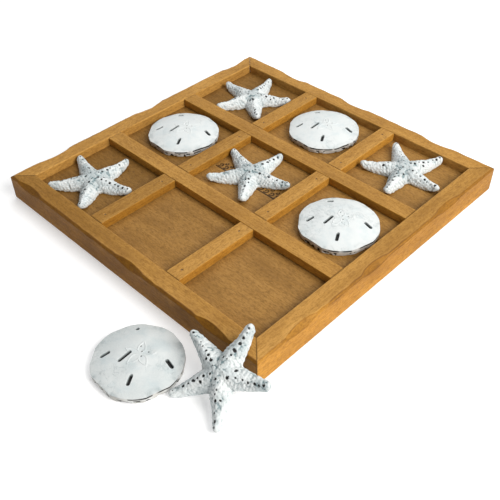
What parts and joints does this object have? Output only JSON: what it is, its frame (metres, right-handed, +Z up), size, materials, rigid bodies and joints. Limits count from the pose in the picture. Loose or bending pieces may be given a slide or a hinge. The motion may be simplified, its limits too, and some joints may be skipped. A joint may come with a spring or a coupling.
{
  "type": "tic tac toe set",
  "caption": "Square mitred wooden tray with sunken cells and carved outer edges, with loose starfish and sand dollar playing pieces.",
  "frame": {"origin": "centre of the tray's square underside, on the table", "axes": "+Z up; X and Y along the tray's rails, with the front rail on the -Y side and the right rail on the +X side"},
  "size_m": [0.3811, 0.4483, 0.0478],
  "materials": {
    "stained_wood": "satin honey-brown stain, open grain",
    "panel_wood": "satin stain, slightly darker than the rails",
    "brad_steel": "dark, dull heads",
    "white_resin": "matte white cast resin with a blue-grey wash and black marks"
  },
  "bodies": {
    "tray": {"rail_front": "stained_wood", "rail_right": "stained_wood", "rail_back": "stained_wood", "rail_left": "stained_wood", "base_panel": "panel_wood", "divider_long_front": "stained_wood", "divider_long_back": "stained_wood", "divider_front_left": "stained_wood", "divider_front_right": "stained_wood", "divider_middle_left": "stained_wood", "divider_middle_right": "stained_wood", "divider_back_left": "stained_wood", "divider_back_right": "stained_wood", "divider_brads": "brad_steel"},
    "starfish_1": {"starfish_1": "white_resin"},
    "starfish_2": {"starfish_2": "white_resin"},
    "starfish_3": {"starfish_3": "white_resin"},
    "starfish_4": {"starfish_4": "white_resin"},
    "starfish_5": {"starfish_5": "white_resin"},
    "sand_dollar_1": {"sand_dollar_1": "white_resin"},
    "sand_dollar_2": {"sand_dollar_2": "white_resin"},
    "sand_dollar_3": {"sand_dollar_3": "white_resin"},
    "sand_dollar_4": {"sand_dollar_4": "white_resin"}
  },
  "joints": [
    {"name": "starfish_1_lift", "type": "slide", "parent": "tray", "child": "starfish_1", "axis": [0, 0, 1], "range_m": [0, 0.06]},
    {"name": "starfish_2_lift", "type": "slide", "parent": "tray", "child": "starfish_2", "axis": [0, 0, 1], "range_m": [0, 0.06]},
    {"name": "starfish_3_lift", "type": "slide", "parent": "tray", "child": "starfish_3", "axis": [0, 0, 1], "range_m": [0, 0.06]},
    {"name": "starfish_4_lift", "type": "slide", "parent": "tray", "child": "starfish_4", "axis": [0, 0, 1], "range_m": [0, 0.06]},
    {"name": "starfish_5_lift", "type": "slide", "parent": "tray", "child": "starfish_5", "axis": [0, 0, 1], "range_m": [0, 0.08]},
    {"name": "sand_dollar_1_lift", "type": "slide", "parent": "tray", "child": "sand_dollar_1", "axis": [0, 0, 1], "range_m": [0, 0.06]},
    {"name": "sand_dollar_2_lift", "type": "slide", "parent": "tray", "child": "sand_dollar_2", "axis": [0, 0, 1], "range_m": [0, 0.06]},
    {"name": "sand_dollar_3_lift", "type": "slide", "parent": "tray", "child": "sand_dollar_3", "axis": [0, 0, 1], "range_m": [0, 0.06]},
    {"name": "sand_dollar_4_slide", "type": "slide", "parent": "tray", "child": "sand_dollar_4", "axis": [-0.7071, -0.7071, 0], "range_m": [0, 0.06]}
  ]
}
